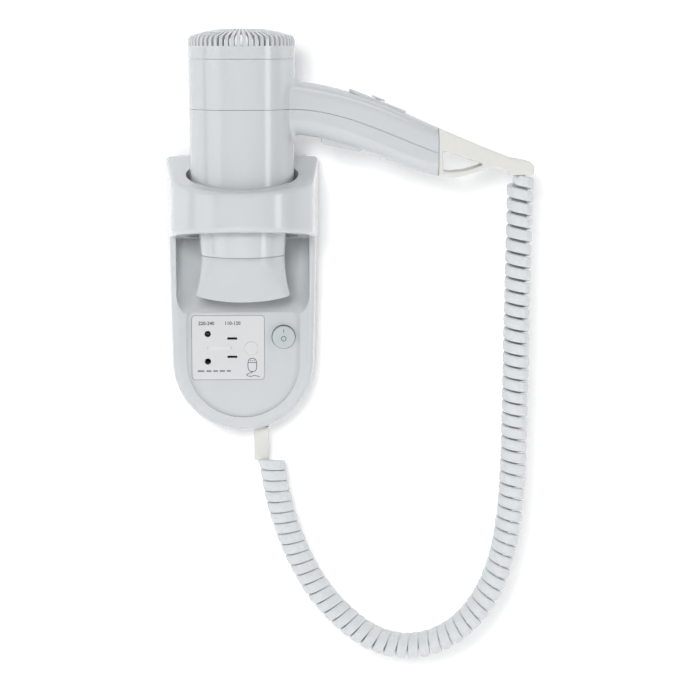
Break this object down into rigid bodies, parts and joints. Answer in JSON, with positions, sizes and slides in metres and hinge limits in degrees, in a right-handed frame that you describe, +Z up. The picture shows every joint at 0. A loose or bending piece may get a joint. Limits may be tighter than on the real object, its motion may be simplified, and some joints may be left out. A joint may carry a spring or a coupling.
{
  "type": "hair dryer",
  "caption": "Wall-mounted hotel hair dryer: pistol dryer standing nozzle-down in a collar on a tombstone-shaped holder with shaver socket, power button and curly cord.",
  "frame": {"origin": "centre of the four wall-screw holes, on the holder's back face, which lies on the wall", "axes": "+Z up along the wall and along the dryer's barrel, +Y into the wall, -Y out to the room, +X to the right as seen from the room, where the handle points"},
  "size_m": [0.2477, 0.108, 0.4353],
  "materials": {
    "white_abs": "gloss",
    "nozzle_plastic": "gloss",
    "wall_plate_plastic": "matt",
    "socket_plastic": "satin",
    "button_plastic": "gloss",
    "control_plastic": "satin",
    "soft_pvc": "satin",
    "cord_pvc": "satin",
    "brass": "satin",
    "steel": "satin",
    "core_steel": "laminated",
    "winding_tape": "satin",
    "nichrome": "satin",
    "mica": "satin",
    "black_plastic": "matt",
    "grey_plastic": "matt",
    "circuit_board": "matt",
    "filter_mesh": "woven"
  },
  "bodies": {
    "holder": {"wall_plate": "wall_plate_plastic", "wall_screws": "steel", "holder_shell": "white_abs", "front_cradle_pad": "soft_pvc", "back_cradle_pad": "soft_pvc", "socket_insert": "socket_plastic", "socket_contacts": "brass", "screw_cap": "socket_plastic", "cover_screw": "steel", "power_switch": "black_plastic", "switch_terminals": "brass", "button_spring": "steel", "mains_terminal_block": "grey_plastic", "transformer_core": "core_steel", "transformer_winding": "winding_tape", "cord_sleeve": "soft_pvc", "cord_clamp": "grey_plastic", "curly_cord": "cord_pvc"},
    "dryer": {"front_housing": "white_abs", "rear_housing": "white_abs", "lint_filter": "filter_mesh", "motor": "steel", "motor_carrier": "black_plastic", "motor_board": "circuit_board", "heat_shield": "mica", "heater_frame": "mica", "heating_coils": "nichrome", "thermal_cutout": "steel", "thermal_fuse": "grey_plastic", "outlet_grille": "black_plastic", "switch_plate": "control_plastic", "speed_switch": "black_plastic", "trigger_pin": "steel", "trigger_bracket": "grey_plastic", "trigger_spring": "steel", "micro_switch": "black_plastic", "handle_screws": "steel", "hanging_boot": "soft_pvc"},
    "fan": {"fan_impeller": "black_plastic", "motor_shaft": "steel"},
    "intake_cap": {"intake_cap": "white_abs"},
    "nozzle": {"nozzle": "nozzle_plastic"},
    "speed_slider": {"speed_slider": "control_plastic"},
    "run_trigger": {"run_trigger": "control_plastic"},
    "power_button": {"power_button": "button_plastic"}
  },
  "joints": [
    {"name": "dryer_lift", "type": "slide", "parent": "holder", "child": "dryer", "axis": [0, 0, 1], "range_m": [0, 0.13], "deforming": ["curly_cord"]},
    {"name": "fan_spin", "type": "hinge", "parent": "dryer", "child": "fan", "pos_m": [0, -0.06, 0.15], "axis": [0, 0, 1], "continuous": true},
    {"name": "cap_lift", "type": "slide", "parent": "dryer", "child": "intake_cap", "axis": [0, 0, 1], "range_m": [0, 0.03]},
    {"name": "nozzle_turn", "type": "hinge", "parent": "dryer", "child": "nozzle", "pos_m": [0, -0.06, 0.03], "axis": [0, 0, 1], "continuous": true},
    {"name": "speed_slide", "type": "slide", "parent": "dryer", "child": "speed_slider", "axis": [0.9298, 0, -0.3681], "range_m": [-0.005, 0.005]},
    {"name": "trigger_press", "type": "hinge", "parent": "dryer", "child": "run_trigger", "pos_m": [0.0786, -0.06, 0.1072], "axis": [0, 1, 0], "range_deg": [0, 5], "stiffness_Nm_per_rad": 0.2, "springref_deg": -11.46, "deforming": ["trigger_spring"]},
    {"name": "button_press", "type": "slide", "parent": "holder", "child": "power_button", "axis": [0, 1, 0], "range_m": [0, 0.0025], "stiffness_N_per_m": 200, "springref_m": -0.002, "deforming": ["button_spring"]}
  ]
}
